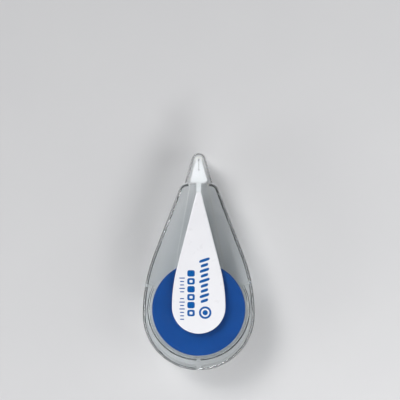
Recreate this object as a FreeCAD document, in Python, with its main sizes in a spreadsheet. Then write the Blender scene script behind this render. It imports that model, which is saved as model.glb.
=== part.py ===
"""Correction tape roller: a clear drop-shaped case with two tape spools stacked on one axle.

Frame, in millimetres: the roller lies on its back plate.  The origin is the point where the
spool axis meets the surface it lies on, +Y points at the tip and +Z up through the front plate.
The case parts at mid depth, and both halves are drawn in a half frame of their own, in which the
parting plane is at zero and the outer face lies above it.  The halves stop a hair short of it.
"""
import FreeCAD, Part
import math
import os

import Sketcher
from FreeCAD import Placement, Rotation, Vector

# Driving dimensions: millimetres, and degrees where the name says angle.
SIZES = {
    # Case outline: a round end, two convex flanks and two straight runs up to the mouth
    "case_radius": 21.6,
    "case_centre_y": -1.9,
    "flank_radius": 64.0,
    "mouth_y": 48.5,
    "mouth_half_width": 6.7,
    "mouth_corner_radius": 3.5,
    "mouth_opening_half_width": 4.0,
    "mouth_opening_gap": 0.3,
    "wall": 1.2,
    "case_edge_radius": 1.4,
    "face_flat_end_y": 12.0,
    "parting_gap": 0.04,
    # Chamber ring round the spools, open towards the tip
    "ring_inner_radius": 18.9,
    "ring_thickness": 0.9,
    "ring_edge_radius": 0.35,
    "ring_end_angle": 27.5,
    "rib_thickness": 1.0,
    # Grip plates
    "plate_thickness": 1.2,
    "plate_radius": 10.3,
    "plate_centre_y": 1.0,
    "plate_flank_radius": 60.0,
    "plate_end_y": 45.3,
    "plate_end_half_width": 0.85,
    "plate_edge_radius": 0.45,
    "plate_corner_radius": 0.6,
    "peg_radius": 0.8,
    "lower_peg_y": -6.0,
    "upper_peg_y": 18.0,
    # Posts that locate the two case halves
    "post_y": 27.0,
    "stem_post_y": 38.0,
    "post_radius": 1.2,
    "post_depth": 2.4,
    "post_boss_radius": 2.0,
    "foot_post_radius": 0.6,
    "foot_boss_radius": 1.5,
    # Tape and its two spools
    "tape_width": 4.2,
    "tape_thickness": 0.1,
    "tape_side_gap": 0.1,
    "supply_core_radius": 4.1,
    "supply_roll_radius": 12.0,
    "takeup_drum_radius": 12.6,
    "takeup_drum_wall": 1.0,
    "takeup_wrap_thickness": 0.2,
    "takeup_hub_radius": 4.2,
    "supply_disc_radius": 14.6,
    "takeup_disc_radius": 15.6,
    "front_flange_radius": 18.0,
    "flange_thickness": 0.8,
    "flange_edge_radius": 0.25,
    "disc_thickness": 0.6,
    "spigot_radius": 3.1,
    "end_gap": 0.4,
    # Axle, clutch and its spring
    "axle_radius": 1.5,
    "axle_seat_depth": 0.6,
    "axle_boss_radius": 2.7,
    "running_gap": 0.05,
    "fit_gap": 0.02,
    "clutch_inner_radius": 5.0,
    "clutch_outer_radius": 9.0,
    "clutch_thickness": 0.8,
    "spring_bore_radius": 3.0,
    "spring_radius": 2.35,
    "spring_wire_radius": 0.2,
    "spring_height": 2.8,
    "spring_turns": 4.0,
    "washer_thickness": 0.3,
    # Ratchet
    "ratchet_root_radius": 13.3,
    "ratchet_tip_radius": 14.0,
    "ratchet_teeth": 30,
    "pawl_radius": 16.3,
    "pawl_angle": 200.0,
    "pawl_length": 5.0,
    "pawl_hub_radius": 1.2,
    "pawl_post_radius": 0.6,
    "pawl_thickness": 0.8,
    "pawl_nose_gap": 0.15,
    # Tip
    "tip_reach": 9.1,
    "tip_roller_radius": 1.4,
    "tip_pin_radius": 0.4,
    "cheek_gap": 0.75,
    "cheek_thickness": 0.7,
    "cheek_base_setback": 0.4,
    "cheek_base_half_width": 3.5,
    "cheek_end_half_width": 0.8,
    "cheek_end_margin": 0.7,
    "cheek_corner_radius": 0.9,
    "stem_half_width": 0.9,
    "stem_eye_radius": 2.3,
    "web_length": 3.4,
    "slit_width": 0.35,
    "slit_length": 4.4,
    "slit_hole_radius": 0.45,
    # Clear cap over the tip
    "cap_wall": 0.85,
    "cap_gap": 0.3,
    "cap_seat_gap": 0.2,
    "cap_base_half_width": 5.4,
    "cap_edge_radius": 0.9,
    "cap_rib_length": 2.6,
    "cap_rib_width": 0.8,
    "cap_rib_gap": 0.05,
}

doc = FreeCAD.newDocument("CorrectionTapeRoller")
sheet = doc.addObject("Spreadsheet::Sheet", "sizes")
for row, (alias, value) in enumerate(SIZES.items(), start=1):
    sheet.set(f"A{row}", alias)
    sheet.set(f"B{row}", str(value))
    sheet.setAlias(f"B{row}", alias)
doc.recompute()


def size(expression):
    """The value of an expression over the sheet, in millimetres or degrees."""
    result = sheet.evalExpression(expression)
    return float(getattr(result, "Value", result))


# Heights of the stack along the axle, each built on the one below it.
CASE_BACK = "sizes.plate_thickness"
FLOOR = f"({CASE_BACK} + sizes.wall)"
SUPPLY_BOTTOM = f"({FLOOR} + sizes.end_gap)"
SUPPLY_TAPE = f"({SUPPLY_BOTTOM} + sizes.flange_thickness)"
TAPE_ROOM = "(sizes.tape_width + 2 * sizes.tape_side_gap)"
SUPPLY_DISC = f"({SUPPLY_TAPE} + {TAPE_ROOM})"
CLUTCH = f"({SUPPLY_DISC} + sizes.disc_thickness)"
TAKEUP_DISC = f"({CLUTCH} + sizes.clutch_thickness + sizes.running_gap)"
TAKEUP_TAPE = f"({TAKEUP_DISC} + sizes.disc_thickness)"
FRONT_FLANGE = f"({TAKEUP_TAPE} + {TAPE_ROOM})"
FLANGE_TOP = f"({FRONT_FLANGE} + sizes.flange_thickness)"
CEILING = f"({FLANGE_TOP} + sizes.end_gap)"
CASE_FRONT = f"({CEILING} + sizes.wall)"
PARTING = f"(({CASE_BACK} + {CASE_FRONT}) / 2)"
HALF_DEPTH = f"(({CASE_FRONT} - {CASE_BACK}) / 2)"
INNER_DEPTH = f"({HALF_DEPTH} - sizes.wall)"
WASHER_TOP = f"({FLANGE_TOP} + 2 * sizes.running_gap)"
WASHER_BOTTOM = f"({WASHER_TOP} - sizes.washer_thickness)"
SPRING_SEAT = f"({WASHER_BOTTOM} - sizes.spring_height)"

# Half depths at the tip, measured from the parting plane.
CHEEK_INSIDE = "(sizes.tape_width / 2 + sizes.cheek_gap)"
CHEEK_OUTSIDE = f"({CHEEK_INSIDE} + sizes.cheek_thickness)"
CAP_INSIDE = f"({CHEEK_OUTSIDE} + sizes.cap_gap)"
CAP_OUTSIDE = f"({CAP_INSIDE} + sizes.cap_wall)"

# The case faces curve down from their flat part to the depth of the cap at the mouth.
FACE_RUN = "(sizes.mouth_y - sizes.face_flat_end_y)"
FACE_DROP = f"({HALF_DEPTH} - {CAP_OUTSIDE})"
FACE_RADIUS = f"(({FACE_RUN} ^ 2 + {FACE_DROP} ^ 2) / (2 * {FACE_DROP}))"

RING_OUTER = "(sizes.ring_inner_radius + sizes.ring_thickness)"
RING_MIDDLE = "(sizes.ring_inner_radius + sizes.ring_thickness / 2)"
CASE_FOOT_Y = "(sizes.case_centre_y - sizes.case_radius + sizes.wall)"
FOOT_POST_Y = f"(({CASE_FOOT_Y} - {RING_OUTER}) / 2)"
AXLE_BORE = "(sizes.axle_radius + sizes.running_gap)"
TAKEUP_ROLL_RADIUS = "(sizes.takeup_drum_radius + sizes.takeup_wrap_thickness)"
TIP_ROLLER_Y = "(sizes.mouth_y + sizes.tip_reach)"
CHEEK_BASE_Y = "(sizes.mouth_y + sizes.cheek_base_setback)"
CHEEK_END_Y = f"({TIP_ROLLER_Y} + sizes.cheek_end_margin)"
CAP_BASE_Y = "(sizes.mouth_y + sizes.cap_seat_gap)"
CAP_INNER_RADIUS = "(sizes.tip_roller_radius + sizes.running_gap + sizes.tape_thickness + sizes.cap_gap)"
CAP_OUTER_RADIUS = f"({CAP_INNER_RADIUS} + sizes.cap_wall)"
OVERRUN = 1.0        # how far a cutting solid runs past the face that it cuts
SAME = 1e-4          # two lengths closer than this count as one
OUTWARD = 0.7        # least upward share of the normal of a face that looks outwards


# Small tools of the document
def bind(target, **properties):
    """Bind properties of an object to expressions over the sheet."""
    for name, expression in properties.items():
        target.setExpression(name, str(expression))
    return target


def place(target, x="0", y="0", z="0", turn="0"):
    """Put an object at a bound position, turned about +Z by a bound angle in degrees."""
    for axis, expression in (("x", x), ("y", y), ("z", z)):
        if str(expression) != "0":
            target.setExpression(f"Placement.Base.{axis}", str(expression))
    if str(turn) != "0":
        target.Placement.Rotation = Rotation(Vector(0, 0, 1), size(turn))
        target.setExpression("Placement.Rotation.Angle", f"({turn}) * 1 deg")
    return target


def cylinder(name, radius, height, **position):
    solid = doc.addObject("Part::Cylinder", name)
    bind(solid, Radius=radius, Height=height)
    return place(solid, **position)


def box(name, length, width, height, **position):
    solid = doc.addObject("Part::Box", name)
    bind(solid, Length=length, Width=width, Height=height)
    return place(solid, **position)


def fuse(name, *parts):
    joined = doc.addObject("Part::MultiFuse", name)
    joined.Shapes = list(parts)
    joined.Refine = True
    return joined


def common(name, first, second):
    shared = doc.addObject("Part::Common", name)
    shared.Base = first
    shared.Tool = second
    return shared


def cut(name, base, *tools):
    """Take one or more solids away from a base."""
    tool = tools[0] if len(tools) == 1 else fuse(f"{name}_tools", *tools)
    result = doc.addObject("Part::Cut", name)
    result.Base = base
    result.Tool = tool
    return result


def prism(name, sketch, forward, backward="0"):
    """Extrude a sketch along its normal, by bound lengths to both sides."""
    solid = doc.addObject("Part::Extrusion", name)
    solid.Base = sketch
    solid.DirMode = "Normal"
    solid.Solid = True
    return bind(solid, LengthFwd=forward, LengthRev=backward)


def fillet(name, base, radius, chosen):
    """Round the edges of a base that the given test picks, by one radius of the sheet."""
    doc.recompute()
    rounded = doc.addObject("Part::Fillet", name)
    rounded.Base = base
    amount = size(radius)
    picked = [index for index, edge in enumerate(base.Shape.Edges, start=1) if chosen(edge)]
    rounded.Edges = [(index, amount, amount) for index in picked]
    return rounded


def origin_plane(body, role):
    return next(feature for feature in body.Origin.OriginFeatures if feature.Role == role)


def body_sketch(body, name, role="XY_Plane"):
    """A sketch on one of the body's own origin planes."""
    sketch = body.newObject("Sketcher::SketchObject", name)
    sketch.AttachmentSupport = [(origin_plane(body, role), "")]
    sketch.MapMode = "FlatFace"
    return sketch


def free_sketch(name, upright=False):
    """A sketch outside a body: on XY, or upright on YZ with its own x along +Y."""
    sketch = doc.addObject("Sketcher::SketchObject", name)
    if upright:
        sketch.Placement = Placement(Vector(), Rotation(Vector(1, 1, 1), 120))
    return sketch


def drive(sketch, kind, *arguments, to):
    """Add a dimension to a sketch and bind it to an expression."""
    value = size(to)
    if kind == "Angle":
        value = math.radians(value)
    index = sketch.addConstraint(Sketcher.Constraint(kind, *arguments, value))
    name = f"size_{index}"
    sketch.renameConstraint(index, name)
    sketch.setExpression(f"Constraints.{name}", to)


def pin_point(sketch, geometry, end, x, y):
    """Tie one end of a line or arc to a bound position."""
    drive(sketch, "DistanceX", -1, 1, geometry, end, to=x)
    drive(sketch, "DistanceY", -1, 1, geometry, end, to=y)


def polygon(sketch, corners):
    """Draw a closed polygon whose corners are pairs of expressions."""
    points = [Vector(size(x), size(y), 0) for x, y in corners]
    count = len(points)
    first = sketch.GeometryCount
    for index, point in enumerate(points):
        sketch.addGeometry(Part.LineSegment(point, points[(index + 1) % count]), False)
    for index in range(count):
        following = first + (index + 1) % count
        sketch.addConstraint(Sketcher.Constraint("Coincident", first + index, 2, following, 1))
    for index, (x, y) in enumerate(corners):
        pin_point(sketch, first + index, 1, x, y)
    return sketch


def circle(sketch, radius, x="0", y="0"):
    """Draw a circle with a bound radius and, unless it is at the origin, a bound centre."""
    centre = Vector(size(x), size(y), 0)
    index = sketch.addGeometry(Part.Circle(centre, Vector(0, 0, 1), size(radius)), False)
    drive(sketch, "Radius", index, to=radius)
    for kind, value, axis in (("DistanceX", x, -2), ("DistanceY", y, -1)):
        if str(value) == "0":
            sketch.addConstraint(Sketcher.Constraint("PointOnObject", index, 3, axis))
        else:
            drive(sketch, kind, -1, 1, index, 3, to=value)
    return sketch


def rectangle(sketch, half_width, bottom, top):
    """Draw a rectangle that is symmetrical about the sketch's y axis."""
    left = f"-({half_width})"
    return polygon(sketch, [(left, bottom), (half_width, bottom), (half_width, top), (left, top)])


def flank_angle(radius, centre_y, flank, end_y, half_width):
    """The angle between the axis and a straight run that leaves the flank arc for the end."""
    across = f"({half_width} + {flank} - {radius})"
    along = f"({end_y} - {centre_y})"
    reach = f"sqrt({across} ^ 2 + {along} ^ 2)"
    return f"(atan({along} / {across}) - acos({flank} / {reach}))"


def drop(sketch, radius, centre_y, flank, angle, end_y):
    """Draw a drop: a round end, flank arcs tangent to it, and straight runs to a flat end."""
    r, cy, f, theta, top = (size(value) for value in (radius, centre_y, flank, angle, end_y))
    theta = math.radians(theta)
    join = Vector(r - f + f * math.cos(theta), cy + f * math.sin(theta), 0)
    half_end = join.x - (top - join.y) * math.tan(theta)
    up = Vector(0, 0, 1)
    round_end = Part.ArcOfCircle(Part.Circle(Vector(0, cy, 0), up, r), math.pi, 2 * math.pi)
    right_flank = Part.ArcOfCircle(Part.Circle(Vector(r - f, cy, 0), up, f), 0, theta)
    right_run = Part.LineSegment(join, Vector(half_end, top, 0))
    flat_end = Part.LineSegment(Vector(half_end, top, 0), Vector(-half_end, top, 0))
    left_run = Part.LineSegment(Vector(-half_end, top, 0), Vector(-join.x, join.y, 0))
    left_flank = Part.ArcOfCircle(Part.Circle(Vector(f - r, cy, 0), up, f), math.pi - theta, math.pi)
    for piece in (round_end, right_flank, right_run, flat_end, left_run, left_flank):
        sketch.addGeometry(piece, False)
    joins = [("Tangent", 0, 2, 1, 1), ("Tangent", 1, 2, 2, 1), ("Coincident", 2, 2, 3, 1),
             ("Coincident", 3, 2, 4, 1), ("Tangent", 4, 2, 5, 1), ("Tangent", 5, 2, 0, 1),
             ("PointOnObject", 0, 3, -2), ("Horizontal", 0, 3, 1, 3), ("Horizontal", 0, 3, 5, 3),
             ("Symmetric", 3, 1, 3, 2, -2), ("Equal", 1, 5)]
    for join_arguments in joins:
        sketch.addConstraint(Sketcher.Constraint(*join_arguments))
    drive(sketch, "Radius", 0, to=radius)
    drive(sketch, "DistanceY", -1, 1, 0, 3, to=centre_y)
    drive(sketch, "Radius", 1, to=flank)
    drive(sketch, "Angle", 2, to=f"90 deg + {angle}")
    drive(sketch, "DistanceY", -1, 1, 3, 1, to=end_y)
    return sketch


def face_profile(name, face, radius, end_y):
    """Upright profile of a case half: flat face, then an arc that curves down to the end."""
    sketch = free_sketch(name, upright=True)
    flat, height, bend, end = size("sizes.face_flat_end_y"), size(face), size(radius), size(end_y)
    back = size("-2 * sizes.case_radius")
    down = math.asin((end - flat) / bend)
    drop_end = Vector(end, height - bend * (1 - math.cos(down)), 0)
    bend_circle = Part.Circle(Vector(flat, height - bend, 0), Vector(0, 0, 1), bend)
    pieces = [Part.LineSegment(Vector(end, 0, 0), drop_end),
              Part.ArcOfCircle(bend_circle, math.pi / 2 - down, math.pi / 2),
              Part.LineSegment(Vector(flat, height, 0), Vector(back, height, 0)),
              Part.LineSegment(Vector(back, height, 0), Vector(back, 0, 0)),
              Part.LineSegment(Vector(back, 0, 0), Vector(end, 0, 0))]
    for piece in pieces:
        sketch.addGeometry(piece, False)
    joins = [("Coincident", 0, 2, 1, 1), ("Tangent", 1, 2, 2, 1), ("Coincident", 2, 2, 3, 1),
             ("Coincident", 3, 2, 4, 1), ("Coincident", 4, 2, 0, 1), ("Vertical", 0),
             ("Horizontal", 2), ("Vertical", 3), ("PointOnObject", 3, 2, -1),
             ("PointOnObject", 0, 1, -1)]
    for join_arguments in joins:
        sketch.addConstraint(Sketcher.Constraint(*join_arguments))
    drive(sketch, "DistanceX", -1, 1, 0, 1, to=end_y)
    drive(sketch, "DistanceX", -1, 1, 2, 1, to="sizes.face_flat_end_y")
    drive(sketch, "DistanceX", -1, 1, 3, 1, to="-2 * sizes.case_radius")
    drive(sketch, "DistanceY", -1, 1, 2, 1, to=face)
    drive(sketch, "Radius", 1, to=radius)
    return prism(f"{name}_prism", sketch, "2 * sizes.case_radius", "2 * sizes.case_radius")


def turned(name, profile):
    """A body turned about the axle from a profile of radius and height expressions."""
    body = doc.addObject("PartDesign::Body", name)
    sketch = polygon(body_sketch(body, f"{name}_profile", "XZ_Plane"), profile)
    turn = body.newObject("PartDesign::Revolution", f"{name}_turning")
    turn.Profile = sketch
    turn.ReferenceAxis = (sketch, ["V_Axis"])
    turn.Angle = 360
    return body


def ring(name, inner, outer, bottom, height):
    """A plain ring about the axle."""
    top = f"({bottom} + {height})"
    return turned(name, [(inner, bottom), (outer, bottom), (outer, top), (inner, top)])


def pad(body, name, sketch, length, symmetric=True):
    feature = body.newObject("PartDesign::Pad", name)
    feature.Profile = sketch
    feature.SideType = "Symmetric" if symmetric else "One side"
    return bind(feature, Length=length)


def pocket(body, name, sketch, length):
    """Cut a sketch to the same depth on both sides of its plane."""
    feature = body.newObject("PartDesign::Pocket", name)
    feature.Profile = sketch
    feature.SideType = "Symmetric"
    return bind(feature, Length=length)


def is_upright(edge):
    first, last = edge.Vertexes[0].Point, edge.Vertexes[-1].Point
    return math.hypot(first.x - last.x, first.y - last.y) < SAME < abs(first.z - last.z)


def soft_edges(body, name, radius, chosen):
    """Fillet the edges of a body's last feature that the test picks."""
    base = body.Tip
    picked = [f"Edge{index}" for index, edge in enumerate(base.Shape.Edges, start=1) if chosen(edge)]
    rounded = body.newObject("PartDesign::Fillet", name)
    rounded.Base = (base, picked)
    return bind(rounded, Radius=radius)


NODES = []


def node(name, solid, turned_over=False, in_half_frame=False):
    """Label a finished sub-part and put it where it belongs."""
    solid.Label = name
    if in_half_frame:
        solid.Placement.Rotation = Rotation(Vector(0, 1, 0), 180 if turned_over else 0)
        solid.setExpression("Placement.Base.z", PARTING)
    NODES.append(solid)
    return solid


# Case halves
def face_edges(base):
    """Test for the rim edges of the faces that look outwards in the half frame."""
    doc.recompute()
    faces = [face for face in base.Shape.Faces if face.normalAt(0, 0).z > OUTWARD]
    codes = [edge.hashCode() for face in faces for edge in face.Edges]
    return lambda edge: codes.count(edge.hashCode()) == 1


def case_plan(name, inset, height):
    """The drop outline, set in from the case's own and with rounded mouth corners, as a prism."""
    angle = flank_angle("sizes.case_radius", "sizes.case_centre_y", "sizes.flank_radius",
                        "sizes.mouth_y", "sizes.mouth_half_width")
    end_y = f"(sizes.mouth_y - {inset})"
    outline = drop(free_sketch(f"{name}_outline"), f"(sizes.case_radius - {inset})",
                   "sizes.case_centre_y", f"(sizes.flank_radius - {inset})", angle, end_y)
    sharp = place(prism(f"{name}_plan", outline, height), z="sizes.parting_gap / 2")
    end = size(end_y)
    return fillet(f"{name}_soft_plan", sharp, f"(sizes.mouth_corner_radius - {inset})",
                  lambda edge: is_upright(edge) and abs(edge.Vertexes[0].Y - end) < SAME)


def case_blank():
    """The rounded outer block of a case half, and the same hollowed out and opened at the mouth."""
    side = face_profile("case_face", HALF_DEPTH, FACE_RADIUS, f"sizes.mouth_y + {OVERRUN}")
    sharp = common("case_sharp_block", case_plan("case", "0", HALF_DEPTH), side)
    block = fillet("case_block", sharp, "sizes.case_edge_radius", face_edges(sharp))
    inner_side = face_profile("cavity_face", INNER_DEPTH, f"({FACE_RADIUS} - sizes.wall)",
                              f"sizes.mouth_y + {OVERRUN}")
    cavity = common("case_cavity", case_plan("cavity", "sizes.wall", HALF_DEPTH), inner_side)
    opening = box("mouth_opening", "2 * sizes.mouth_opening_half_width", f"2 * sizes.wall + {OVERRUN}",
                  f"({CHEEK_INSIDE} + sizes.mouth_opening_gap)",
                  x="-sizes.mouth_opening_half_width", y="sizes.mouth_y - 2 * sizes.wall")
    return block, cut("case_hollow", block, cavity, opening)


def chamber_ring(side):
    """Ring wall round the spools with a rounded free edge and a rib at each end."""
    gap = "sizes.running_gap"
    height = f"({INNER_DEPTH} - {gap} + sizes.wall / 2)"
    start = "(180 - sizes.ring_end_angle)"
    outer = cylinder(f"{side}_ring_outside", RING_OUTER, height, z=gap, turn=start)
    bind(outer, Angle="180 + 2 * sizes.ring_end_angle")
    inner = cylinder(f"{side}_ring_inside", "sizes.ring_inner_radius", height, z=gap)
    sharp_wall = cut(f"{side}_ring_sharp_wall", outer, inner)
    free_edge, free_length = size(gap), size("sizes.case_radius")
    ring_wall = fillet(f"{side}_ring_wall", sharp_wall, "sizes.ring_edge_radius",
                       lambda edge: edge.BoundBox.ZMax < free_edge + SAME and edge.Length > free_length)
    ribs = []
    for hand, angle in (("right", "sizes.ring_end_angle"), ("left", start)):
        rib = box(f"{side}_{hand}_rib", "sizes.case_radius", "sizes.rib_thickness", height,
                  x=f"{RING_MIDDLE} * cos({angle} * 1 deg)",
                  y=f"{RING_MIDDLE} * sin({angle} * 1 deg) - sizes.rib_thickness / 2",
                  z=gap, turn=angle)
        ribs.append(rib)
    return [ring_wall] + ribs


def boss(name, radius, start, y="0"):
    """A round boss that stands on the inside of the face and ends at a height of the half frame."""
    return cylinder(name, radius, f"({INNER_DEPTH} + sizes.wall / 2 - {start})", y=y, z=start)


def shell(side, bosses, pins, holes, turned_over):
    """One case half: hollow block, chamber ring and bosses, with its pins and its holes."""
    block, hollow = CASE
    inside = common(f"{side}_inside", fuse(f"{side}_inside_parts", *chamber_ring(side), *bosses), block)
    solid = fuse(f"{side}_solid", hollow, inside, *pins)
    half = cut(f"{side}_shell", solid, *holes)
    return node(f"{side}_shell", half, turned_over=turned_over, in_half_frame=True)


def shared_holes(side):
    """The axle seat and the holes for the grip plate's pegs, the same in both halves."""
    peg_bore = "(sizes.peg_radius + sizes.fit_gap)"
    seat_bore = "(sizes.axle_radius + sizes.fit_gap)"
    seat = cylinder(f"{side}_axle_seat", seat_bore, f"({INNER_DEPTH} + sizes.axle_seat_depth)")
    pegs = [cylinder(f"{side}_{which}_peg_hole", peg_bore, f"({HALF_DEPTH} + {OVERRUN})",
                     y=f"sizes.{which}_peg_y", z=f"({INNER_DEPTH} - sizes.wall)")
            for which in ("lower", "upper")]
    return [seat] + pegs


POSTS = {
    # place: height, y, pin radius and boss radius; a boss ends at the height in both halves
    "neck": ("sizes.running_gap", "sizes.post_y", "sizes.post_radius", "sizes.post_boss_radius"),
    "stem": (f"({CHEEK_INSIDE} + sizes.running_gap)", "sizes.stem_post_y", "sizes.post_radius",
             "sizes.post_boss_radius"),
    "foot": ("sizes.running_gap", FOOT_POST_Y, "sizes.foot_post_radius", "sizes.foot_boss_radius"),
}


def front_shell():
    bosses = [boss("front_axle_boss", "sizes.axle_boss_radius", f"({WASHER_TOP} - {PARTING})")]
    pins = []
    for which, (height, y, radius, boss_radius) in POSTS.items():
        bosses.append(boss(f"front_{which}_boss", boss_radius, height, y))
        reach = f"({height} + sizes.post_depth)"
        pins.append(cylinder(f"front_{which}_pin", radius, f"({reach} + {height} + sizes.wall)",
                             y=y, z=f"-{reach}"))
    return shell("front", bosses, pins, shared_holes("front"), turned_over=False)


def back_shell():
    floor_height = f"({PARTING} - {SUPPLY_BOTTOM} + sizes.running_gap)"
    bosses = [boss("back_axle_boss", "sizes.axle_boss_radius", floor_height)]
    holes = shared_holes("back")
    for which, (height, y, radius, boss_radius) in POSTS.items():
        bosses.append(boss(f"back_{which}_boss", boss_radius, height, y))
        holes.append(cylinder(f"back_{which}_socket", f"({radius} + sizes.fit_gap)",
                              f"({height} + sizes.post_depth + sizes.fit_gap)", y=y))
    # The half is turned over about the Y axis, so its own x is the other way round.
    pivot_x = "(-sizes.pawl_radius * cos(sizes.pawl_angle * 1 deg))"
    pivot_y = "(sizes.pawl_radius * sin(sizes.pawl_angle * 1 deg))"
    pawl_top = f"({PARTING} - {SUPPLY_TAPE} - sizes.running_gap)"
    pivot = cylinder("pawl_post", "sizes.pawl_post_radius",
                     f"({INNER_DEPTH} + sizes.wall / 2 - {pawl_top})", x=pivot_x, y=pivot_y, z=pawl_top)
    return shell("back", bosses + [pivot], [], holes, turned_over=True)


# Grip plates
def plate_plan(side):
    angle = flank_angle("sizes.plate_radius", "sizes.plate_centre_y", "sizes.plate_flank_radius",
                        "sizes.plate_end_y", "sizes.plate_end_half_width")
    outline = drop(free_sketch(f"{side}_plate_outline"), "sizes.plate_radius",
                   "sizes.plate_centre_y", "sizes.plate_flank_radius", angle, "sizes.plate_end_y")
    plan = prism(f"{side}_plate_plan", outline, f"({HALF_DEPTH} + sizes.plate_thickness + {OVERRUN})")
    end = size("sizes.plate_end_y")
    return fillet(f"{side}_plate_soft_plan", plan, "sizes.plate_corner_radius",
                  lambda edge: is_upright(edge) and abs(edge.Vertexes[0].Y - end) < SAME)


def grip_plate(side, turned_over):
    """A drop plate that follows the face of its case half, with two pegs into it."""
    over = face_profile(f"{side}_plate_face", f"({HALF_DEPTH} + sizes.plate_thickness)",
                        f"({FACE_RADIUS} + sizes.plate_thickness)", f"sizes.mouth_y + {OVERRUN}")
    under = face_profile(f"{side}_plate_seat", HALF_DEPTH, FACE_RADIUS,
                         f"sizes.mouth_y + 2 * {OVERRUN}")
    slab = cut(f"{side}_plate_slab", common(f"{side}_plate_block", plate_plan(side), over), under)
    soft = fillet(f"{side}_plate_soft", slab, "sizes.plate_edge_radius", face_edges(slab))
    pegs = [cylinder(f"{side}_{which}_peg", "sizes.peg_radius",
                     "(sizes.wall + sizes.plate_thickness / 2)",
                     y=f"sizes.{which}_peg_y", z=f"({INNER_DEPTH} + sizes.fit_gap)")
            for which in ("lower", "upper")]
    plate = fuse(f"{side}_plate", soft, *pegs)
    return node(f"{side}_grip_plate", plate, turned_over=turned_over, in_half_frame=True)


# Spools, clutch and axle
def spools():
    axle = cylinder("axle", "sizes.axle_radius",
                    f"({CEILING} - {FLOOR} + 2 * sizes.axle_seat_depth - 2 * sizes.fit_gap)",
                    z=f"({FLOOR} - sizes.axle_seat_depth + sizes.fit_gap)")
    node("spool_axle", axle)
    node("supply_spool", supply_spool())
    node("supply_disc", ring("supply_disc", "(sizes.spigot_radius + sizes.fit_gap)",
                             "sizes.supply_disc_radius", SUPPLY_DISC, "sizes.disc_thickness"))
    node("supply_tape_roll", ring("supply_roll", "(sizes.supply_core_radius + sizes.fit_gap)",
                                  "sizes.supply_roll_radius",
                                  f"({SUPPLY_TAPE} + sizes.tape_side_gap)", "sizes.tape_width"))
    node("clutch_ring", ring("clutch", "sizes.clutch_inner_radius", "sizes.clutch_outer_radius",
                             CLUTCH, "sizes.clutch_thickness"))
    node("takeup_disc", ring("takeup_disc", "(sizes.takeup_hub_radius + sizes.fit_gap)",
                             "sizes.takeup_disc_radius", TAKEUP_DISC, "sizes.disc_thickness"))
    node("takeup_spool", takeup_spool())
    node("takeup_tape_wrap", ring("takeup_wrap", "(sizes.takeup_drum_radius + sizes.fit_gap)",
                                  TAKEUP_ROLL_RADIUS,
                                  f"({TAKEUP_TAPE} + sizes.tape_side_gap)", "sizes.tape_width"))
    node("clutch_spring", clutch_spring())
    node("thrust_washer", ring("thrust_washer", AXLE_BORE,
                               "(sizes.spring_bore_radius - 2 * sizes.running_gap)",
                               WASHER_BOTTOM, "(sizes.washer_thickness - sizes.fit_gap)"))


def supply_spool():
    """Core and ratchet flange of the full spool."""
    body = turned("supply_core", [
        (AXLE_BORE, SUPPLY_BOTTOM), ("sizes.ratchet_root_radius", SUPPLY_BOTTOM),
        ("sizes.ratchet_root_radius", SUPPLY_TAPE), ("sizes.supply_core_radius", SUPPLY_TAPE),
        ("sizes.supply_core_radius", SUPPLY_DISC), ("sizes.spigot_radius", SUPPLY_DISC),
        ("sizes.spigot_radius", CLUTCH), (AXLE_BORE, CLUTCH)])
    pitch = "(360 / sizes.ratchet_teeth * 1 deg)"
    root, foot = "sizes.ratchet_root_radius", "(sizes.ratchet_root_radius - sizes.flange_thickness)"
    outline = polygon(body_sketch(body, "tooth_outline"), [
        (foot, "sizes.fit_gap"), ("sizes.ratchet_tip_radius", "sizes.fit_gap"),
        (f"{root} * cos({pitch})", f"-{root} * sin({pitch})"),
        (f"{foot} * cos({pitch})", f"-{foot} * sin({pitch})")])
    outline.setExpression("AttachmentOffset.Base.z", SUPPLY_BOTTOM)
    tooth = pad(body, "tooth", outline, "sizes.flange_thickness", symmetric=False)
    teeth = body.newObject("PartDesign::PolarPattern", "teeth")
    teeth.Originals = [tooth]
    teeth.Axis = (origin_plane(body, "Z_Axis"), [""])
    teeth.Angle = 360
    bind(teeth, Occurrences="sizes.ratchet_teeth")
    body.Tip = teeth
    return body


def takeup_spool():
    """Blue front flange with the drum that the spent tape winds on, and a bore for the spring."""
    drum_bore = "(sizes.takeup_drum_radius - sizes.takeup_drum_wall)"
    body = turned("takeup_core", [
        (AXLE_BORE, TAKEUP_DISC), ("sizes.takeup_hub_radius", TAKEUP_DISC),
        ("sizes.takeup_hub_radius", FRONT_FLANGE), (drum_bore, FRONT_FLANGE),
        (drum_bore, TAKEUP_TAPE), ("sizes.takeup_drum_radius", TAKEUP_TAPE),
        ("sizes.takeup_drum_radius", FRONT_FLANGE), ("sizes.front_flange_radius", FRONT_FLANGE),
        ("sizes.front_flange_radius", FLANGE_TOP), ("sizes.spring_bore_radius", FLANGE_TOP),
        ("sizes.spring_bore_radius", SPRING_SEAT), (AXLE_BORE, SPRING_SEAT)])
    doc.recompute()
    radius = size("sizes.front_flange_radius")
    soft_edges(body, "flange_rim", "sizes.flange_edge_radius",
               lambda edge: edge.Curve.TypeId == "Part::GeomCircle"
               and abs(edge.Curve.Radius - radius) < SAME)
    return body


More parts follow.
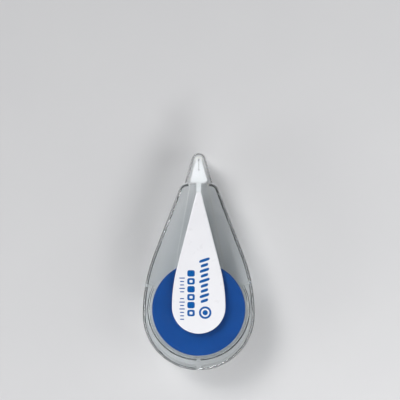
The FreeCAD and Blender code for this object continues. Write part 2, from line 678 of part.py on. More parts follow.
def clutch_spring():
    """Coil spring that presses the take-up spool onto the clutch ring."""
    wire = "sizes.spring_wire_radius"
    rise = f"(sizes.spring_height - 2 * {wire} - 2 * sizes.fit_gap)"
    spine = doc.addObject("Part::Helix", "spring_helix")
    bind(spine, Radius="sizes.spring_radius", Height=rise, Pitch=f"{rise} / sizes.spring_turns")
    place(spine, z=f"({SPRING_SEAT} + {wire} + sizes.fit_gap)")
    section = doc.addObject("Part::Circle", "spring_wire")
    bind(section, Radius=wire)
    section.Placement.Rotation = Rotation(Vector(1, 0, 0), 90)
    place(section, x="sizes.spring_radius", z=f"({SPRING_SEAT} + {wire} + sizes.fit_gap)")
    doc.recompute()
    spring = doc.addObject("Part::Sweep", "spring")
    spring.Sections = [section]
    spring.Spine = (spine, ["Edge1"])
    spring.Solid = True
    spring.Frenet = True
    return spring


def ratchet_pawl():
    """Lever on its post whose nose stands just outside the circle of the tooth tips."""
    body = doc.addObject("PartDesign::Body", "pawl")
    nose_x = "sizes.pawl_length"
    clear_radius = "(sizes.ratchet_tip_radius + sizes.pawl_nose_gap)"
    nose_y = f"(sqrt({clear_radius} ^ 2 - sizes.pawl_length ^ 2) - sizes.pawl_radius)"
    half_arm = "(sizes.pawl_hub_radius / 2)"
    pad(body, "pawl_arm", polygon(body_sketch(body, "arm_outline"), [
        (f"-{half_arm}", f"-{half_arm}"), (nose_x, nose_y), (nose_x, f"{nose_y} + {half_arm}"),
        (f"{nose_x} - {half_arm}", f"{nose_y} + 2 * {half_arm}"), (half_arm, half_arm)]),
        "sizes.pawl_thickness", symmetric=False)
    pad(body, "pawl_hub", circle(body_sketch(body, "hub_outline"), "sizes.pawl_hub_radius"),
        "sizes.pawl_thickness", symmetric=False)
    pocket(body, "pawl_bore", circle(body_sketch(body, "bore_outline"),
                                     "(sizes.pawl_post_radius + sizes.running_gap)"),
           "4 * sizes.pawl_thickness")
    place(body, x="sizes.pawl_radius * cos(sizes.pawl_angle * 1 deg)",
          y="sizes.pawl_radius * sin(sizes.pawl_angle * 1 deg)",
          z=f"({SUPPLY_TAPE} - sizes.pawl_thickness)", turn="(sizes.pawl_angle - 90)")
    return node("ratchet_pawl", body)


# Tip
def tip_holder():
    """Two triangular cheeks on a stem; a slit in each cheek lets the roller pin snap in."""
    body = doc.addObject("PartDesign::Body", "holder")
    base, end = "sizes.cheek_base_half_width", "sizes.cheek_end_half_width"
    triangle = [(f"-{base}", CHEEK_BASE_Y), (base, CHEEK_BASE_Y),
                (end, CHEEK_END_Y), (f"-{end}", CHEEK_END_Y)]
    pad(body, "cheeks", polygon(body_sketch(body, "cheek_outline"), triangle), f"2 * {CHEEK_OUTSIDE}")
    doc.recompute()
    soft_edges(body, "cheek_corners", "sizes.cheek_corner_radius",
               lambda edge: is_upright(edge) and abs(edge.Vertexes[0].Y - size(CHEEK_BASE_Y)) < SAME)
    channel = rectangle(body_sketch(body, "channel_outline"), f"({base} + {OVERRUN})",
                        f"{CHEEK_BASE_Y} - {OVERRUN}", f"{CHEEK_END_Y} + {OVERRUN}")
    pocket(body, "tape_channel", channel, f"2 * {CHEEK_INSIDE}")
    stem = rectangle(body_sketch(body, "stem_outline"), "sizes.stem_half_width",
                     "sizes.stem_post_y", f"{CHEEK_BASE_Y} + sizes.web_length")
    pad(body, "stem", stem, f"2 * {CHEEK_INSIDE}")
    eye = circle(body_sketch(body, "stem_eye_outline"), "sizes.stem_eye_radius", y="sizes.stem_post_y")
    pad(body, "stem_eye", eye, f"2 * {CHEEK_INSIDE}")
    through = f"4 * {CHEEK_OUTSIDE}"
    slit_foot = f"({CHEEK_END_Y} - sizes.slit_length)"
    openings = {
        "slit": rectangle(body_sketch(body, "slit_outline"), "(sizes.slit_width / 2)",
                          slit_foot, f"{CHEEK_END_Y} + {OVERRUN}"),
        "slit_hole": circle(body_sketch(body, "slit_hole_outline"), "sizes.slit_hole_radius",
                            y=slit_foot),
        "pin_seat": circle(body_sketch(body, "pin_seat_outline"),
                           "(sizes.tip_pin_radius + sizes.fit_gap)", y=TIP_ROLLER_Y),
        "stem_hole": circle(body_sketch(body, "stem_hole_outline"),
                            "(sizes.post_radius + sizes.fit_gap)", y="sizes.stem_post_y"),
    }
    for name, sketch in openings.items():
        pocket(body, name, sketch, through)
    return node("tip_holder", body, in_half_frame=True)


def tip_roller():
    """Roller that presses the tape on the paper, and the pin it turns on."""
    half_length = f"({CHEEK_INSIDE} - 2 * sizes.running_gap)"
    roller = cut("roller",
                 cylinder("roller_blank", "sizes.tip_roller_radius", f"2 * {half_length}",
                          z=f"-{half_length}"),
                 cylinder("roller_bore", "(sizes.tip_pin_radius + sizes.running_gap)",
                          f"4 * {half_length}", z=f"-2 * {half_length}"))
    roller.setExpression("Placement.Base.y", TIP_ROLLER_Y)
    node("tip_roller", roller, in_half_frame=True)
    node("tip_roller_pin", cylinder("roller_pin", "sizes.tip_pin_radius", f"2 * {CHEEK_OUTSIDE}",
                                    y=TIP_ROLLER_Y, z=f"({PARTING} - {CHEEK_OUTSIDE})"))


def cap_outline(name, radius, base_y, half_width):
    """A flat base with two straight flanks that run tangent into a round end."""
    sketch = free_sketch(name)
    r, y, w, base = size(radius), size(TIP_ROLLER_Y), size(half_width), size(base_y)
    across, along = w, y - base
    lean = math.atan2(across, along) - math.asin(r / math.hypot(across, along))
    touch = Vector(r * math.cos(lean), y + r * math.sin(lean), 0)
    round_end = Part.Circle(Vector(0, y, 0), Vector(0, 0, 1), r)
    pieces = [Part.LineSegment(Vector(-w, base, 0), Vector(w, base, 0)),
              Part.LineSegment(Vector(w, base, 0), touch),
              Part.ArcOfCircle(round_end, lean, math.pi - lean),
              Part.LineSegment(Vector(-touch.x, touch.y, 0), Vector(-w, base, 0))]
    for piece in pieces:
        sketch.addGeometry(piece, False)
    joins = [("Coincident", 0, 2, 1, 1), ("Tangent", 1, 2, 2, 1), ("Tangent", 2, 2, 3, 1),
             ("Coincident", 3, 2, 0, 1), ("Symmetric", 0, 1, 0, 2, -2), ("PointOnObject", 2, 3, -2)]
    for join_arguments in joins:
        sketch.addConstraint(Sketcher.Constraint(*join_arguments))
    drive(sketch, "Radius", 2, to=radius)
    drive(sketch, "DistanceY", -1, 1, 2, 3, to=TIP_ROLLER_Y)
    pin_point(sketch, 0, 2, half_width, base_y)
    return sketch


def tip_cap():
    """Clear cap that pulls off the tip, with ribs that grip the cheeks."""
    outer = prism("cap_outside", cap_outline("cap_outline", CAP_OUTER_RADIUS, CAP_BASE_Y,
                                             "sizes.cap_base_half_width"), CAP_OUTSIDE, CAP_OUTSIDE)
    base_y = size(CAP_BASE_Y)

    def rim(edge):
        flat = abs(edge.Vertexes[0].Z - edge.Vertexes[-1].Z) < SAME
        at_base = all(abs(vertex.Y - base_y) < SAME for vertex in edge.Vertexes)
        return flat and not at_base
    soft = fillet("cap_soft", outer, "sizes.cap_edge_radius", rim)
    inner = prism("cap_inside", cap_outline("cap_bore_outline", CAP_INNER_RADIUS,
                                            f"({CAP_BASE_Y} - {OVERRUN})",
                                            "(sizes.cap_base_half_width - sizes.cap_wall)"),
                  CAP_INSIDE, CAP_INSIDE)
    hollow = cut("cap_hollow", soft, inner)
    inside = f"({CHEEK_OUTSIDE} + sizes.cap_rib_gap)"
    ribs = [box(f"cap_rib_{index}", "sizes.cap_rib_width", "sizes.cap_rib_length",
                f"({CAP_INSIDE} - {inside} + sizes.cap_wall / 2)",
                x=f"({side} * sizes.stem_half_width - sizes.cap_rib_width / 2)",
                y=f"({CHEEK_BASE_Y} + sizes.cheek_base_setback)",
                z=inside if up else f"(-{CAP_INSIDE} - sizes.cap_wall / 2)")
            for index, (side, up) in enumerate(((-1, True), (1, True), (-1, False), (1, False)), start=1)]
    return node("tip_cap", fuse("cap", hollow, *ribs), in_half_frame=True)


# Tape between the spools and the tip
def tape_run(name, roll_radius, zone_bottom, disc_radius, side):
    """A thin strap that leaves the roll level, then leans over to the middle of the tip."""
    thickness, width = size("sizes.tape_thickness"), size("sizes.tape_width")
    offset = size("sizes.running_gap") + thickness / 2
    roll, roller = size(roll_radius), size("sizes.tip_roller_radius")
    reach = size(TIP_ROLLER_Y)
    lean = math.asin((roll - roller) / reach)
    outward = Vector(side * math.cos(lean), math.sin(lean), 0)
    along = Vector(-side * math.sin(lean), math.cos(lean), 0)
    start_z = size(f"{zone_bottom} + sizes.tape_side_gap") + width / 2
    start = outward * (roll + offset) + Vector(0, 0, start_z)
    end = Vector(0, reach, 0) + outward * (roller + offset) + Vector(0, 0, size(PARTING))
    level = math.sqrt(size(disc_radius) ** 2 - roll ** 2) + OVERRUN
    sections = []
    for middle in (start, start + along * level, end):
        corners = [middle + outward * (a * thickness / 2) + Vector(0, 0, b * width / 2)
                   for a, b in ((-1, -1), (1, -1), (1, 1), (-1, 1))]
        sections.append(Part.makePolygon(corners + corners[:1]))
    strap = doc.addObject("Part::Feature", name)
    strap.Shape = Part.makeLoft(sections, True, True)
    return node(name, strap)


def tip_tape_wrap():
    """The tape where it bends round the roller, between the ends of the two straps."""
    inner = "(sizes.tip_roller_radius + sizes.running_gap)"
    lean_left = f"asin((sizes.supply_roll_radius - sizes.tip_roller_radius) / {TIP_ROLLER_Y})"
    lean_right = f"asin(({TAKEUP_ROLL_RADIUS} - sizes.tip_roller_radius) / {TIP_ROLLER_Y})"
    outside = cylinder("wrap_outside", f"({inner} + sizes.tape_thickness)", "sizes.tape_width",
                       z="-sizes.tape_width / 2")
    bind(outside, Angle=f"180 deg - {lean_left} - {lean_right}")
    outside.Placement.Rotation = Rotation(Vector(0, 0, 1), size(lean_right))
    outside.setExpression("Placement.Rotation.Angle", lean_right)
    inside = cylinder("wrap_inside", inner, "2 * sizes.tape_width", z="-sizes.tape_width")
    wrap = cut("wrap", outside, inside)
    wrap.setExpression("Placement.Base.y", TIP_ROLLER_Y)
    return node("tip_tape_wrap", wrap, in_half_frame=True)


CASE = case_blank()
front_shell()
back_shell()
grip_plate("front", turned_over=False)
grip_plate("back", turned_over=True)
spools()
ratchet_pawl()
tip_holder()
tip_roller()
tip_cap()
tape_run("supply_tape_run", "sizes.supply_roll_radius", SUPPLY_TAPE, "sizes.supply_disc_radius", -1)
tape_run("return_tape_run", TAKEUP_ROLL_RADIUS, TAKEUP_TAPE, "sizes.takeup_disc_radius", 1)
tip_tape_wrap()
doc.recompute()

failed = [item.Name for item in doc.Objects if {"Invalid", "Error"} & set(item.State)]
if failed:
    raise RuntimeError(f"objects that failed to build: {failed}")
for part in NODES:
    if part.Shape.isNull() or not part.Shape.isValid() or not part.Shape.Solids:
        raise RuntimeError(f"bad shape: {part.Label}")

os.makedirs("parts", exist_ok=True)
for part in NODES:
    part.Shape.exportStep(f"parts/{part.Label}.step")
print(f"{len(NODES)} sub-parts written")
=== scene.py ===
"""Correction tape roller: finishes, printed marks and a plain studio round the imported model.

Lengths are metres in the model's frame: the roller lies on its back plate, +Y points at the tip
and +Z up, and the spools turn about the Z axis.  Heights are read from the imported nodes.
"""

import math

import bpy
import numpy as np
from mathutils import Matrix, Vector


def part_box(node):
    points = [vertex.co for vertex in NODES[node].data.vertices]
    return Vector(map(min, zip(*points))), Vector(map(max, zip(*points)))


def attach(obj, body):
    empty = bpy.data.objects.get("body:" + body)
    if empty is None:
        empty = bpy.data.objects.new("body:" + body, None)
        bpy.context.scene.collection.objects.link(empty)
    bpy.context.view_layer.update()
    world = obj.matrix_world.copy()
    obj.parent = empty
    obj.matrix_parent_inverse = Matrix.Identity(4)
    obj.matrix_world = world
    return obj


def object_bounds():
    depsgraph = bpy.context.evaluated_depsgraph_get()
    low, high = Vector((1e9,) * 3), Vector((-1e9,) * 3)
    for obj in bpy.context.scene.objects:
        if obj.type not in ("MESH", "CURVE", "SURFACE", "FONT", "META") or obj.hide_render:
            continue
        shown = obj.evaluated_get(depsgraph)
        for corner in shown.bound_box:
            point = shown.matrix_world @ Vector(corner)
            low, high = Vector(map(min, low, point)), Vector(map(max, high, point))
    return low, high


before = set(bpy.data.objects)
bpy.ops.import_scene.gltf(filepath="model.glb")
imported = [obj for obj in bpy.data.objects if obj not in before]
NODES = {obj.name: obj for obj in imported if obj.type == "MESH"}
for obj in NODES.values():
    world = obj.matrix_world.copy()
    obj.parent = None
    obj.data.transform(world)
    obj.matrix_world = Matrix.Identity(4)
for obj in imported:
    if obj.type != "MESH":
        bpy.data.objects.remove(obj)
cad_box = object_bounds()

MM = 0.001
LAMP_SHARE = 0.74        # share of a lamp's light that passes one clear face unbent
MIX_FIRST, MIX_SECOND = 6, 7         # a Mix node's inputs for two colours
MIX_COLOUR = 2                       # and its output for the blend
SHADER_FIRST, SHADER_SECOND = 1, 2   # a Mix Shader node's inputs for two shaders
WAVE_RATE = 20.0         # radians that a wave texture runs through in one unit, at a scale of 1
SCUFF_CRESTS = (0.66, 0.78)    # noise below the first is clean, above the second is a full scuff


# ---- nodes that the finishes share -------------------------------------------------------------
def finish(name, **sockets):
    """A material whose shader has these constant values; an underscore stands for a space."""
    material = bpy.data.materials.new(name)
    material.use_nodes = True
    shader = material.node_tree.nodes["Principled BSDF"]
    for socket, value in sockets.items():
        shader.inputs[socket.replace("_", " ")].default_value = value
    return material


def shader_of(material):
    """The material's own surface shader."""
    return material.node_tree.nodes["Principled BSDF"]


def add(material, kind, inputs=None, **settings):
    """Add a node; an input is given a value, or is linked when it is another node's output."""
    made = material.node_tree.nodes.new(kind)
    for name, value in settings.items():
        setattr(made, name, value)
    for socket, value in (inputs or {}).items():
        if isinstance(value, bpy.types.NodeSocket):
            material.node_tree.links.new(value, made.inputs[socket])
        else:
            made.inputs[socket].default_value = value
    return made


def feed(material, socket, output):
    """Link a node's output to one of the shader's sockets."""
    material.node_tree.links.new(output, shader_of(material).inputs[socket])


def place_on_piece(material, stretch=(1.0, 1.0, 1.0)):
    """Object coordinates, multiplied along each axis."""
    where = add(material, "ShaderNodeTexCoord").outputs["Object"]
    return add(material, "ShaderNodeMapping", {"Vector": where, "Scale": stretch}).outputs["Vector"]


def mottle(material, size, detail=3.0, stretch=(1.0, 1.0, 1.0)):
    """Noise between 0 and 1 whose blotches are about this size."""
    inputs = {"Vector": place_on_piece(material, stretch), "Scale": 1.0 / size, "Detail": detail}
    return add(material, "ShaderNodeTexNoise", inputs).outputs["Fac"]


def rings(material, pitch, wobble):
    """Waves between 0 and 1 in circles round the Z axis, one wave to a pitch."""
    inputs = {"Vector": place_on_piece(material), "Scale": 2 * math.pi / (WAVE_RATE * pitch),
              "Distortion": wobble, "Detail": 1.0}
    return add(material, "ShaderNodeTexWave", inputs, wave_type="RINGS", rings_direction="Z",
               wave_profile="SIN").outputs["Fac"]


def spread(material, factor, low, high, start=0.0, stop=1.0):
    """Map a factor from its range start..stop to low..high, and clamp it."""
    inputs = {"Value": factor, "From Min": start, "From Max": stop, "To Min": low, "To Max": high}
    return add(material, "ShaderNodeMapRange", inputs).outputs["Result"]


def blend_colours(material, factor, first, second):
    """The first colour where the factor is 0, the second where it is 1."""
    mix = add(material, "ShaderNodeMix", {"Factor": factor}, data_type="RGBA")
    mix.inputs[MIX_FIRST].default_value = (*first, 1.0)
    mix.inputs[MIX_SECOND].default_value = (*second, 1.0)
    return mix.outputs[MIX_COLOUR]


def combine(material, operation, first, second):
    """Sum or product of an output and a number, or of two outputs."""
    math_node = add(material, "ShaderNodeMath", operation=operation)
    for socket, value in zip(math_node.inputs, (first, second)):
        if isinstance(value, bpy.types.NodeSocket):
            material.node_tree.links.new(value, socket)
        else:
            socket.default_value = value
    return math_node.outputs[0]


def relief(material, height, depth, under=None):
    """Bump of this depth in metres, on top of another bump's normal where one is given."""
    inputs = {"Height": height, "Distance": depth, "Strength": 1.0}
    if under is not None:
        inputs["Normal"] = under
    return add(material, "ShaderNodeBump", inputs).outputs["Normal"]


def scuffs(material, length, width, turn):
    """Thin streaks of wear: long stretched noise, turned about Z, with only its crests kept."""
    where = add(material, "ShaderNodeTexCoord").outputs["Object"]
    turned = add(material, "ShaderNodeMapping", {"Vector": where, "Rotation": (0.0, 0.0, turn)})
    stretched = add(material, "ShaderNodeMapping", {"Vector": turned.outputs["Vector"],
                                                    "Scale": (width / length, 1.0, 1.0)})
    noise = add(material, "ShaderNodeTexNoise", {"Vector": stretched.outputs["Vector"],
                                                 "Scale": 1.0 / width, "Detail": 2.0})
    clean, full = SCUFF_CRESTS
    return spread(material, noise.outputs["Fac"], 0.0, 1.0, start=clean, stop=full)


# ---- finishes ----------------------------------------------------------------------------------
def moulded(name, dark, light, rough, **sockets):
    """Opaque moulded plastic: faint cloudiness, uneven sheen, fine grain and a few scuffs."""
    material = finish(name, IOR=1.49, **sockets)
    cloud = mottle(material, 9 * MM, detail=2.0)
    feed(material, "Base Color", blend_colours(material, cloud, dark, light))
    worn = scuffs(material, 9 * MM, 0.12 * MM, 0.6)
    uneven = spread(material, mottle(material, 2.5 * MM), rough - 0.05, rough + 0.07)
    dulled = combine(material, "MULTIPLY", worn, 0.08)
    feed(material, "Roughness", combine(material, "ADD", uneven, dulled))
    grain = relief(material, mottle(material, 0.35 * MM, detail=4.0), 0.004 * MM)
    feed(material, "Normal", relief(material, worn, -0.0007 * MM, under=grain))
    return material


def clear_plastic(name, colour, rough):
    """Clear polished plastic with handling haze.

    Part of the lamps' light goes straight through each face; the rest arrives bent.
    """
    material = finish(name, Base_Color=(*colour, 1.0), IOR=1.5, Transmission_Weight=1.0)
    haze = spread(material, mottle(material, 6 * MM, detail=4.0), 0.0, 0.05, start=0.45, stop=0.8)
    dulled = combine(material, "MULTIPLY", scuffs(material, 12 * MM, 0.10 * MM, 1.1), 0.22)
    uneven = combine(material, "ADD", haze, dulled)
    feed(material, "Roughness", combine(material, "ADD", uneven, rough))
    feed(material, "Normal", relief(material, mottle(material, 5 * MM, detail=1.0), 0.012 * MM))
    path = add(material, "ShaderNodeLightPath").outputs["Is Shadow Ray"]
    through = tuple(LAMP_SHARE * value for value in colour)
    open_way = add(material, "ShaderNodeBsdfTransparent", {"Color": (*through, 1.0)})
    mix = add(material, "ShaderNodeMixShader", {"Fac": path})
    links = material.node_tree.links
    links.new(shader_of(material).outputs["BSDF"], mix.inputs[SHADER_FIRST])
    links.new(open_way.outputs["BSDF"], mix.inputs[SHADER_SECOND])
    links.new(mix.outputs["Shader"], material.node_tree.nodes["Material Output"].inputs["Surface"])
    return material


def spool_disc_blue():
    """Royal blue flange: satin, with the faint circles that the mould's turning leaves.

    The circles and a finer grain take the place of the moulded relief.
    """
    material = moulded("spool_disc_blue", (0.001, 0.047, 0.218), (0.002, 0.058, 0.255), 0.34,
                       Specular_IOR_Level=0.3)
    turned = relief(material, rings(material, 0.22 * MM, wobble=0.4), 0.0016 * MM)
    fine = relief(material, mottle(material, 0.3 * MM, detail=4.0), 0.003 * MM, under=turned)
    feed(material, "Normal", fine)
    return material


def tape_film(name, dark, light, layer, **sockets):
    """Coated film: its wound edge shows as fine uneven circles, its face is chalky."""
    material = finish(name, IOR=1.45, **sockets)
    layers = rings(material, layer, wobble=1.2)
    shade = combine(material, "MULTIPLY", layers, mottle(material, 1.4 * MM))
    feed(material, "Base Color", blend_colours(material, shade, light, dark))
    feed(material, "Roughness", spread(material, mottle(material, 0.8 * MM), 0.45, 0.62))
    feed(material, "Normal", relief(material, layers, 0.008 * MM))
    return material


def steel(name, light, rough, stretch):
    """Steel with fine lines along or round the piece, lighter and duller on their crests."""
    material = finish(name, Metallic=1.0)
    lines = mottle(material, 0.12 * MM, detail=2.0, stretch=stretch)
    dark = tuple(0.82 * value for value in light)
    feed(material, "Base Color", blend_colours(material, lines, dark, light))
    feed(material, "Roughness", spread(material, lines, rough - 0.06, rough + 0.1))
    feed(material, "Normal", relief(material, lines, 0.002 * MM))
    return material


def clutch_rubber():
    """Dull black rubber with a dusty bloom."""
    material = finish("clutch_rubber", IOR=1.52)
    bloom = mottle(material, 1.2 * MM, detail=5.0)
    feed(material, "Base Color", blend_colours(material, bloom, (0.012, 0.012, 0.013),
                                               (0.05, 0.05, 0.052)))
    feed(material, "Roughness", spread(material, bloom, 0.6, 0.85))
    feed(material, "Normal", relief(material, mottle(material, 0.15 * MM), 0.01 * MM))
    return material


def printed_ink():
    """Blue pad print: a thin glossy film that covers a little unevenly."""
    material = finish("printed_ink", IOR=1.5)
    cover = mottle(material, 0.5 * MM, detail=4.0)
    feed(material, "Base Color", blend_colours(material, cover, (0.001, 0.085, 0.33),
                                               (0.002, 0.11, 0.38)))
    feed(material, "Roughness", spread(material, cover, 0.22, 0.36))
    feed(material, "Normal", relief(material, mottle(material, 0.25 * MM), 0.002 * MM))
    return material


TURNED_LINES = (0.08, 0.08, 1.0)     # steel's lines run round the axle
DRAWN_LINES = (1.0, 1.0, 0.04)       # or stand along it
FINISHES = {
    "clear_case": clear_plastic("clear_case", (0.955, 0.97, 0.975), 0.01),
    "clear_cap": clear_plastic("clear_cap", (0.965, 0.975, 0.98), 0.02),
    "white_plate": moulded("white_plate", (0.80, 0.80, 0.835), (0.86, 0.86, 0.885), 0.28,
                           Coat_Weight=0.15, Coat_Roughness=0.12),
    "tip_white": moulded("tip_white", (0.76, 0.77, 0.78), (0.83, 0.84, 0.85), 0.36),
    "spool_white": moulded("spool_white", (0.70, 0.70, 0.67), (0.80, 0.80, 0.77), 0.42),
    "disc_natural": moulded("disc_natural", (0.62, 0.64, 0.66), (0.74, 0.76, 0.77), 0.36,
                            Subsurface_Weight=0.1),
    "acetal": moulded("acetal", (0.68, 0.68, 0.65), (0.78, 0.78, 0.75), 0.33),
    "spool_disc_blue": spool_disc_blue(),
    "white_tape": tape_film("white_tape", (0.60, 0.59, 0.56), (0.86, 0.86, 0.84), 0.16 * MM),
    "carrier_film": tape_film("carrier_film", (0.45, 0.43, 0.36), (0.72, 0.70, 0.62), 0.05 * MM,
                              Alpha=0.6),
    "turned_steel": steel("turned_steel", (0.62, 0.62, 0.64), 0.26, TURNED_LINES),
    "spring_wire": steel("spring_wire", (0.55, 0.55, 0.58), 0.3, DRAWN_LINES),
    "clutch_rubber": clutch_rubber(),
    "printed_ink": printed_ink(),
}
NODE_FINISHES = {
    "clear_case": ["front_shell", "back_shell"],
    "clear_cap": ["tip_cap"],
    "white_plate": ["front_grip_plate", "back_grip_plate"],
    "tip_white": ["tip_holder"],
    "spool_white": ["supply_spool"],
    "disc_natural": ["supply_disc", "takeup_disc"],
    "acetal": ["ratchet_pawl", "tip_roller"],
    "spool_disc_blue": ["takeup_spool"],
    "white_tape": ["supply_tape_roll", "supply_tape_run", "tip_tape_wrap"],
    "carrier_film": ["return_tape_run", "takeup_tape_wrap"],
    "turned_steel": ["spool_axle", "tip_roller_pin", "thrust_washer"],
    "spring_wire": ["clutch_spring"],
    "clutch_rubber": ["clutch_ring"],
}
for finish_name, node_names in NODE_FINISHES.items():
    for node_name in node_names:
        mesh = NODES[node_name].data
        mesh.materials.clear()
        mesh.materials.append(FINISHES[finish_name])


# ---- printed marks on the front plate ----------------------------------------------------------
INK_THICKNESS = 0.03 * MM
INK_SINK = 0.02 * MM     # how far a spot's underside lies inside the plate
INK_EDGE = 0.08 * MM     # width of the rounded edge of a spot
AROUND = 64              # points in a spot's outline
RIM_ROWS = 4             # rows in its rounded edge
CENTRE_SHARE = 1e-3      # a solid spot's innermost row, as a share of its outline
HOLLOW_SHARE = 0.42      # a hollow block's hole, as a share of its outline
ROUND, BLOCKY = 2.0, 4.0     # squareness of a circle and of a block with soft corners
ROUNDING = 6             # decimals of a metre to which the plate's points are read


def plate_height():
    """Height of the plate's face at any y.

    The face is flat and then curves down, so its profile is the upper hull of the mesh's points
    seen from the side: a point stays while the line from it to the next turns downwards.
    """
    mesh = NODES["front_grip_plate"].data
    points = np.empty(len(mesh.vertices) * 3)
    mesh.vertices.foreach_get("co", points)
    side_on = np.unique(np.round(points.reshape(-1, 3)[:, 1:], ROUNDING), axis=0)
    hull = []
    for y, z in side_on:
        while len(hull) > 1 and ((hull[-1][0] - hull[-2][0]) * (z - hull[-2][1])
                                 >= (hull[-1][1] - hull[-2][1]) * (y - hull[-2][0])):
            hull.pop()
        hull.append((y, z))
    profile = np.array(hull)
    return lambda where: np.interp(where, profile[:, 0], profile[:, 1])


HEIGHT_AT = plate_height()


def ink_spot(x, y, half_width, half_length, squareness, hole=0.0, slant=0.0):
    """Rows of points of a closed spot of ink that lies on the plate, and whether it is a ring.

    The outline is a superellipse: across is the half width times cos to the power 2 / squareness,
    along is the half length times sin to the same power plus the slant times across.  Each row is
    that outline times a share, at the plate's height plus a lift: from the middle or the hole
    outwards, over a quarter-round edge at the rim, and back underneath.
    """
    turn = np.linspace(0, 2 * math.pi, AROUND, endpoint=False)
    power = 2.0 / squareness
    across = half_width * np.sign(np.cos(turn)) * np.abs(np.cos(turn)) ** power
    along = half_length * np.sign(np.sin(turn)) * np.abs(np.sin(turn)) ** power + slant * across
    rim = np.linspace(0, math.pi / 2, RIM_ROWS)
    edge = INK_EDGE / half_width
    inner_share = hole + edge * (1 - np.cos(rim)) if hole else np.array([CENTRE_SHARE])
    inner_lift = np.sin(rim) if hole else np.array([1.0])
    share = np.concatenate([inner_share, 1 - edge + edge * np.sin(rim), [1.0, inner_share[0]]])
    lift = INK_THICKNESS * np.concatenate([inner_lift, np.cos(rim)])
    lift = np.concatenate([lift, [-INK_SINK, -INK_SINK]])
    rows_x = x + np.outer(share, across)
    rows_y = y + np.outer(share, along)
    return np.stack([rows_x, rows_y, HEIGHT_AT(rows_y) + lift[:, None]], axis=-1), bool(hole)


def skin(rows, around, first, is_ring):
    """Quads between neighbouring rows; a ring's last row meets its first, else both ends close."""
    row = np.arange(rows if is_ring else rows - 1)[:, None]
    step = np.arange(around)[None, :]
    beside = (step + 1) % around
    here, further = row * around, (row + 1) % rows * around
    quads = np.stack([here + step, further + step, further + beside, here + beside], axis=-1)
    faces = (quads.reshape(-1, 4) + first).tolist()
    if not is_ring:
        faces.append((np.arange(around) + first).tolist())
        faces.append((np.arange(around)[::-1] + first + (rows - 1) * around).tolist())
    return faces


def printed_marks(name, spots):
    """One piece of ink that holds several spots."""
    points, faces, first = [], [], 0
    for grid, is_ring in spots:
        rows, around, _ = grid.shape
        faces += skin(rows, around, first, is_ring)
        points.append(grid.reshape(-1, 3))
        first += rows * around
    mesh = bpy.data.meshes.new(name)
    mesh.from_pydata(np.concatenate(points).tolist(), [], faces)
    mesh.update()
    mesh.materials.append(FINISHES["printed_ink"])
    piece = bpy.data.objects.new(name, mesh)
    bpy.context.scene.collection.objects.link(piece)
    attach(piece, "case")


def printed_row(x, start, pitch, widths_mm, half_length, hollow=(), slant=0.0):
    """Spots in a row down the plate, one to a pitch; a zero width leaves a space."""
    return [ink_spot(x, start - index * pitch, width * MM / 2, half_length, BLOCKY,
                     HOLLOW_SHARE if index in hollow else 0.0, slant)
            for index, width in enumerate(widths_mm) if width]


def printed_target(x, y, radius, hole, middle_radius):
    """A ring with a round spot in its middle."""
    return [ink_spot(x, y, radius, radius, ROUND, hole),
            ink_spot(x, y, middle_radius, middle_radius, ROUND)]


printed_marks("printed_slanted_bars",
              printed_row(x=2.2 * MM, start=19.0 * MM, pitch=1.95 * MM, half_length=0.56 * MM,
                          widths_mm=(4.0, 2.8, 3.6, 2.8, 4.0, 2.8, 2.8, 3.6, 2.8), slant=0.32))
printed_marks("printed_target",
              printed_target(x=2.5 * MM, y=-1.2 * MM, radius=2.4 * MM, hole=0.68,
                             middle_radius=1.0 * MM))
printed_marks("printed_blocks",
              printed_row(x=-2.95 * MM, start=13.9 * MM, pitch=3.05 * MM, half_length=1.25 * MM,
                          widths_mm=[2.9] * 6, hollow=(1, 3, 5)))
printed_marks("printed_thin_bars",
              printed_row(x=-6.4 * MM, start=12.1 * MM, pitch=1.32 * MM, half_length=0.2 * MM,
                          widths_mm=(2.2, 1.6, 1.6, 2.2, 1.6, 0,
                                     1.6, 2.2, 1.6, 2.2, 1.6, 1.6, 1.6)))


# ---- studio ------------------------------------------------------------------------------------
WALLS_LIGHT = 0.65       # light from the studio's pale walls
CEILING_LIGHT = 0.07     # and from its dim ceiling
CEILING_RISE = 0.7       # the upward share of a direction from which the ceiling begins
FLOOR_HALF = 3.0         # half the floor's side
FLOOR_DROP = 0.01 * MM   # the floor's gap under the back plate
SENSOR_WIDTH = 36.0      # millimetres, as a camera's lens is


def floor():
    """Pale matt floor just under the roller."""
    mesh = bpy.data.meshes.new("floor")
    level = cad_box[0][2] - FLOOR_DROP
    corners = [(-1, -1), (1, -1), (1, 1), (-1, 1)]
    mesh.from_pydata([(FLOOR_HALF * x, FLOOR_HALF * y, level) for x, y in corners], [],
                     [(0, 1, 2, 3)])
    sheet = finish("floor_card", IOR=1.45)
    feed(sheet, "Base Color", blend_colours(sheet, mottle(sheet, 40 * MM), (0.60, 0.60, 0.61),
                                            (0.63, 0.63, 0.635)))
    feed(sheet, "Roughness", spread(sheet, mottle(sheet, 3 * MM), 0.55, 0.7))
    mesh.materials.append(sheet)
    card = bpy.data.objects.new("floor", mesh)
    bpy.context.scene.collection.objects.link(card)


def hang_lamp(name, lamp, place, aim):
    """Put a lamp at a place, turned to face the aim."""
    holder = bpy.data.objects.new(name, lamp)
    holder.location = place
    holder.rotation_euler = (Vector(aim) - Vector(place)).to_track_quat("-Z", "Y").to_euler()
    bpy.context.scene.collection.objects.link(holder)


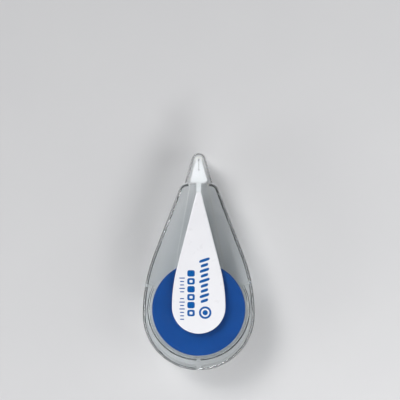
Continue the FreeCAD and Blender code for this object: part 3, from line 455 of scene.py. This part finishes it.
def softbox(name, place, aim, width, height, watts):
    """A rectangular lamp."""
    lamp = bpy.data.lights.new(name, "AREA")
    lamp.shape = "RECTANGLE"
    lamp.size = width
    lamp.size_y = height
    lamp.energy = watts
    hang_lamp(name, lamp, place, aim)


def soft_daylight(name, place, aim, spread_angle, strength):
    """A broad even light from far away, which reaches the whole floor alike."""
    lamp = bpy.data.lights.new(name, "SUN")
    lamp.angle = spread_angle
    lamp.energy = strength
    hang_lamp(name, lamp, place, aim)


def studio():
    """Floor, one broad key light, three soft fills, and walls that darken to the ceiling."""
    floor()
    middle = (0.0, 20 * MM, 8 * MM)
    soft_daylight("key_upper_left", (-0.34, 0.36, 0.48), middle, spread_angle=math.radians(24),
                  strength=2.0)
    softbox("fill_right", (0.50, -0.10, 0.36), middle, width=0.40, height=0.40, watts=1.3)
    softbox("strip_lower_right", (0.16, -0.42, 0.28), middle, width=0.34, height=0.06, watts=1.5)
    softbox("low_panel_left", (-0.50, -0.12, 0.16), middle, width=0.30, height=0.12, watts=0.7)
    world = bpy.data.worlds.new("studio_air")
    world.use_nodes = True
    background = world.node_tree.nodes["Background"]
    background.inputs["Color"].default_value = (0.95, 0.965, 1.0, 1.0)
    direction = add(world, "ShaderNodeTexCoord").outputs["Generated"]
    rise = add(world, "ShaderNodeSeparateXYZ", {"Vector": direction}).outputs["Z"]
    strength = spread(world, rise, WALLS_LIGHT, CEILING_LIGHT, stop=CEILING_RISE)
    world.node_tree.links.new(strength, background.inputs["Strength"])
    bpy.context.scene.world = world


def camera():
    """Long lens straight above; the roller's spool sits below the middle of the view."""
    view_width = 154.4 * MM      # at the height of the blue disc
    view_x, view_y = 0.5 * MM, 42.15 * MM
    distance = 0.9
    lens = bpy.data.cameras.new("camera")
    lens.sensor_width = SENSOR_WIDTH
    lens.lens = SENSOR_WIDTH * distance / view_width
    holder = bpy.data.objects.new("camera", lens)
    disc_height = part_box("takeup_spool")[1].z
    holder.location = (view_x, view_y, disc_height + distance)
    bpy.context.scene.collection.objects.link(holder)
    bpy.context.scene.camera = holder


studio()
camera()
bpy.context.scene.view_settings.view_transform = "Standard"
